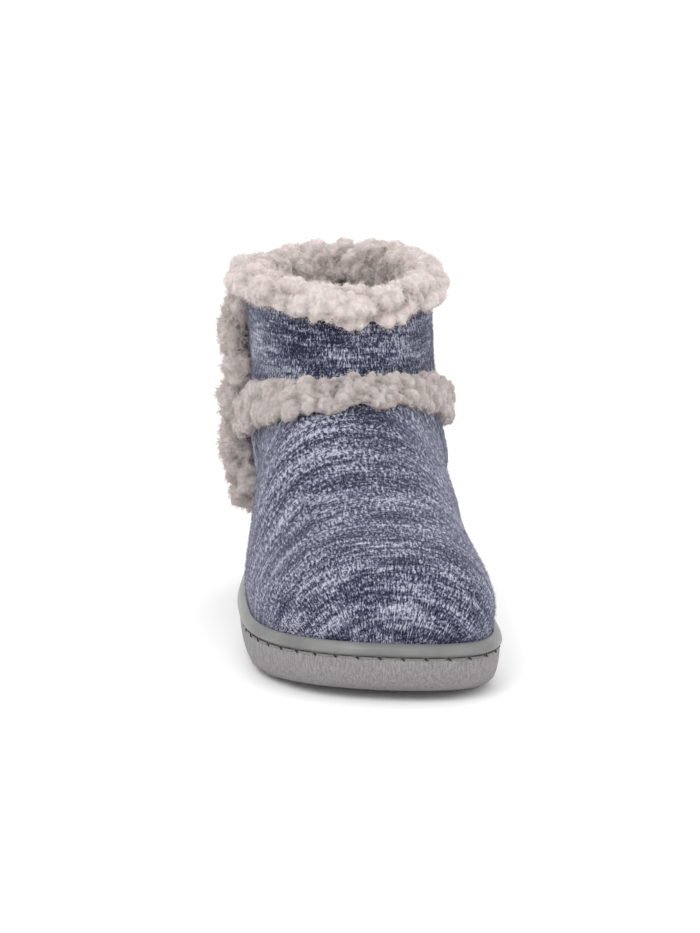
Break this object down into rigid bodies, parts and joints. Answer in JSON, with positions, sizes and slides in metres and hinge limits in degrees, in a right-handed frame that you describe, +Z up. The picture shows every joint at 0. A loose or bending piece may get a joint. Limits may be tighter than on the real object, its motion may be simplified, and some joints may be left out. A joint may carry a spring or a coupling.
{
  "type": "bootie slipper",
  "caption": "Ankle-high bootie slipper for the right foot: blue knit upper, fleece cuff and trims, grey cupped rubber sole.",
  "frame": {"origin": "on the floor under the middle of the shoe's box", "axes": "+Z up, toe to -Y, the big-toe side to +X"},
  "size_m": [0.0986, 0.257, 0.138],
  "materials": {
    "grey_rubber": "satin",
    "insole_fleece": "matt pile",
    "blue_knit": "brushed marled knit",
    "curled_fleece": "matt curled pile"
  },
  "bodies": {
    "root": {"outsole": "grey_rubber", "insole": "insole_fleece", "upper": "blue_knit", "collar_cuff": "curled_fleece", "instep_band": "curled_fleece", "side_strip": "curled_fleece"}
  },
  "joints": []
}
